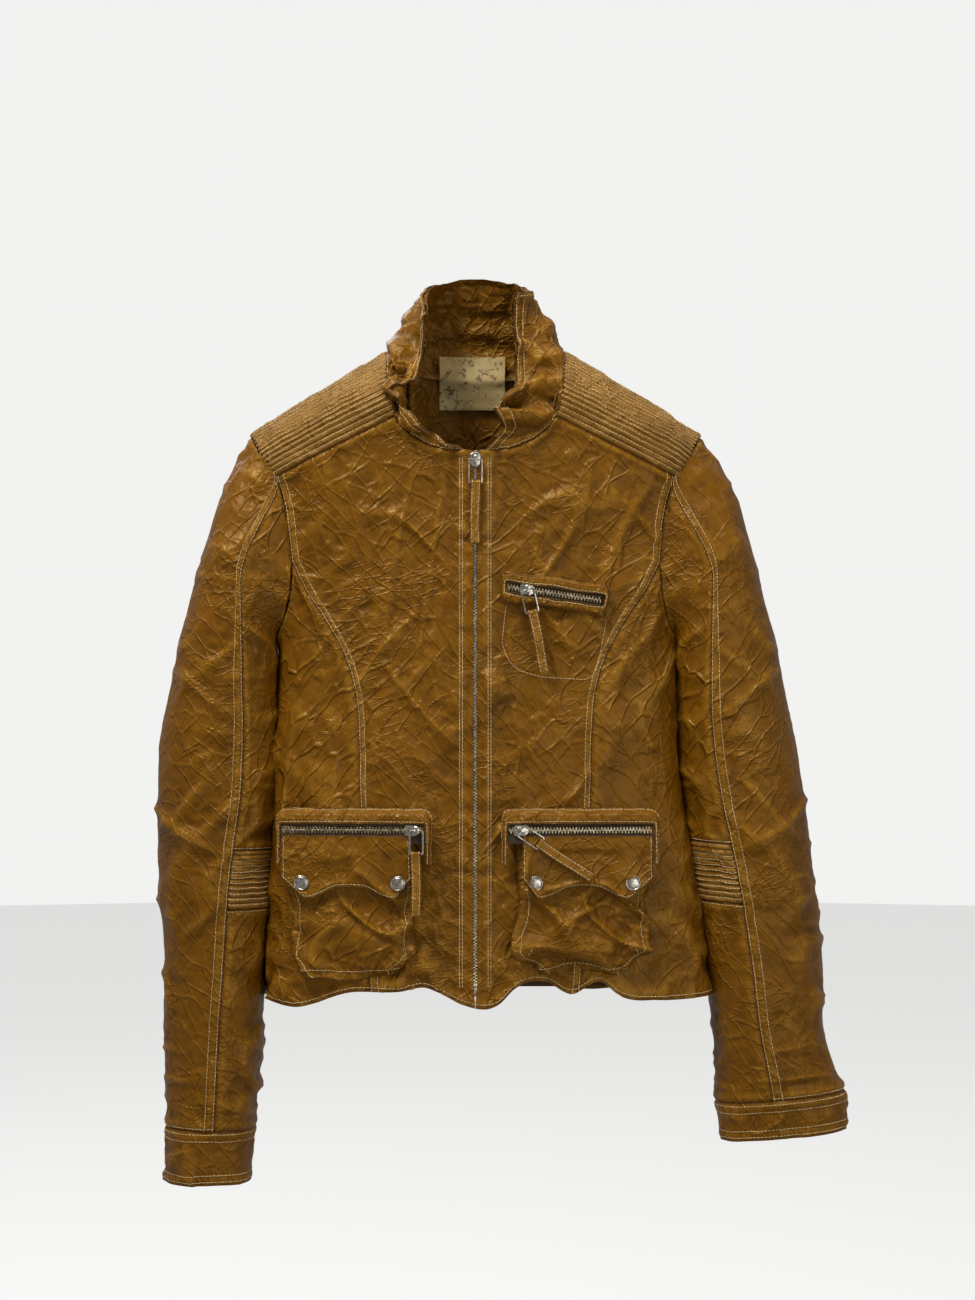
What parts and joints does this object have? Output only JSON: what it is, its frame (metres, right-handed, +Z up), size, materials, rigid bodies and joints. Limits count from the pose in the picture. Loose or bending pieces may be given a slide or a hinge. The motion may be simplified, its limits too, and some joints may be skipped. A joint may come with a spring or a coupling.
{
  "type": "leather riding jacket",
  "caption": "Cropped tan leather riding jacket with stand collar, quilted shoulders and elbows, front zip, zipped chest pocket and flapped patch pockets, hanging.",
  "frame": {"origin": "where a hanger holds the jacket: the middle of the neck, level with the tops of the shoulder seams less 6 mm", "axes": "+Z up, the front faces -Y, +X is the wearer's left"},
  "size_m": [0.5812, 0.1398, 0.7475],
  "materials": {
    "tan_leather": "soft satin, crinkled grain",
    "quilted_leather": "soft satin, quilted rows",
    "tab_leather": "soft satin",
    "lining": "smooth satin",
    "zip_tape": "woven matt",
    "zip_metal": "antiqued",
    "nickel": "worn polish",
    "label": "woven matt"
  },
  "bodies": {
    "jacket": {"left_front_panel": "tan_leather", "left_side_panel": "tan_leather", "left_back_side_panel": "tan_leather", "right_front_panel": "tan_leather", "right_side_panel": "tan_leather", "right_back_side_panel": "tan_leather", "back_panel": "tan_leather", "left_shoulder_yoke": "quilted_leather", "right_shoulder_yoke": "quilted_leather", "collar": "tan_leather", "collar_facing": "tan_leather", "back_neck_facing": "tan_leather", "neck_label": "label", "body_lining": "lining", "left_front_zip_tape": "zip_tape", "left_front_zip_teeth": "zip_metal", "right_front_zip_tape": "zip_tape", "right_front_zip_teeth": "zip_metal", "front_zip_box": "zip_metal", "left_pocket_zip_tape": "zip_tape", "left_pocket_zip_teeth": "zip_metal", "left_pocket_frame": "tan_leather", "left_pocket_flap_base": "tan_leather", "left_pocket_pouch": "tan_leather", "right_pocket_zip_tape": "zip_tape", "right_pocket_zip_teeth": "zip_metal", "right_pocket_frame": "tan_leather", "right_pocket_flap_base": "tan_leather", "right_pocket_pouch": "tan_leather", "chest_pocket_zip_tape": "zip_tape", "chest_pocket_zip_teeth": "zip_metal", "chest_pocket_welt": "tan_leather"},
    "front_zip_slider_body": {"front_zip_slider": "nickel"},
    "front_zip_pull": {"front_zip_bail": "nickel", "front_zip_tab": "tab_leather"},
    "chest_pocket_slider_body": {"chest_pocket_slider": "nickel"},
    "chest_pocket_pull": {"chest_pocket_bail": "nickel", "chest_pocket_tab": "tab_leather"},
    "left_pocket_slider_body": {"left_pocket_slider": "nickel"},
    "left_pocket_pull": {"left_pocket_bail": "nickel", "left_pocket_tab": "tab_leather"},
    "right_pocket_slider_body": {"right_pocket_slider": "nickel"},
    "right_pocket_pull": {"right_pocket_bail": "nickel", "right_pocket_tab": "tab_leather"},
    "left_flap_body": {"left_pocket_flap": "tan_leather", "left_pocket_inner_snap": "nickel", "left_pocket_outer_snap": "nickel"},
    "left_sleeve": {"left_upper_sleeve": "tan_leather", "left_undersleeve_top": "tan_leather", "left_elbow_panel": "quilted_leather", "left_undersleeve_bottom": "tan_leather", "left_cuff": "tan_leather"},
    "right_flap_body": {"right_pocket_flap": "tan_leather", "right_pocket_inner_snap": "nickel", "right_pocket_outer_snap": "nickel"},
    "right_sleeve": {"right_upper_sleeve": "tan_leather", "right_undersleeve_top": "tan_leather", "right_elbow_panel": "quilted_leather", "right_undersleeve_bottom": "tan_leather", "right_cuff": "tan_leather"}
  },
  "joints": [
    {"name": "front_zip_slide", "type": "slide", "parent": "jacket", "child": "front_zip_slider_body", "axis": [0, -0.022, -0.9998], "range_m": [0, 0.42]},
    {"name": "front_zip_pull_hinge", "type": "hinge", "parent": "front_zip_slider_body", "child": "front_zip_pull", "pos_m": [0, -0.05482, -0.08794], "axis": [-1, 0, 0], "range_deg": [0, 150]},
    {"name": "chest_pocket_slide", "type": "slide", "parent": "jacket", "child": "chest_pocket_slider_body", "axis": [0.9893, 0.0398, -0.1402], "range_m": [-0.011, 0.053]},
    {"name": "chest_pocket_pull_hinge", "type": "hinge", "parent": "chest_pocket_slider_body", "child": "chest_pocket_pull", "pos_m": [0.04256, -0.06204, -0.19462], "axis": [-0.9772, -0.0469, -0.2069], "range_deg": [0, 150]},
    {"name": "left_pocket_slide", "type": "slide", "parent": "jacket", "child": "left_pocket_slider_body", "axis": [0.9973, 0.0737, -0.0016], "range_m": [0, 0.097]},
    {"name": "left_pocket_pull_hinge", "type": "hinge", "parent": "left_pocket_slider_body", "child": "left_pocket_pull", "pos_m": [0.03738, -0.07375, -0.39064], "axis": [-0.5577, -0.0595, -0.8279], "range_deg": [0, 120]},
    {"name": "right_pocket_slide", "type": "slide", "parent": "jacket", "child": "right_pocket_slider_body", "axis": [-0.9894, 0.1453, -0.0032], "range_m": [0, 0.097]},
    {"name": "right_pocket_pull_hinge", "type": "hinge", "parent": "right_pocket_slider_body", "child": "right_pocket_pull", "pos_m": [-0.04774, -0.07667, -0.39054], "axis": [-0.9894, 0.1453, -0.0032], "range_deg": [0, 150]},
    {"name": "left_flap_hinge", "type": "hinge", "parent": "jacket", "child": "left_flap_body", "pos_m": [0.08872, -0.06752, -0.41908], "axis": [-0.9973, -0.0737, 0.0016], "range_deg": [0, 120]},
    {"name": "right_flap_hinge", "type": "hinge", "parent": "jacket", "child": "right_flap_body", "pos_m": [-0.10241, -0.0662, -0.41908], "axis": [-0.9894, 0.1453, -0.0032], "range_deg": [0, 120]},
    {"name": "left_shoulder_swing", "type": "hinge", "parent": "jacket", "child": "left_sleeve", "pos_m": [0.19, 0, -0.064], "axis": [0, -1, 0], "range_deg": [0, 15]},
    {"name": "right_shoulder_swing", "type": "hinge", "parent": "jacket", "child": "right_sleeve", "pos_m": [-0.19, 0, -0.064], "axis": [0, 1, 0], "range_deg": [0, 15]}
  ],
  "couplings": [
    {"joint": "left_pocket_pull_hinge", "follows": "left_flap_hinge", "ratio": 1}
  ]
}
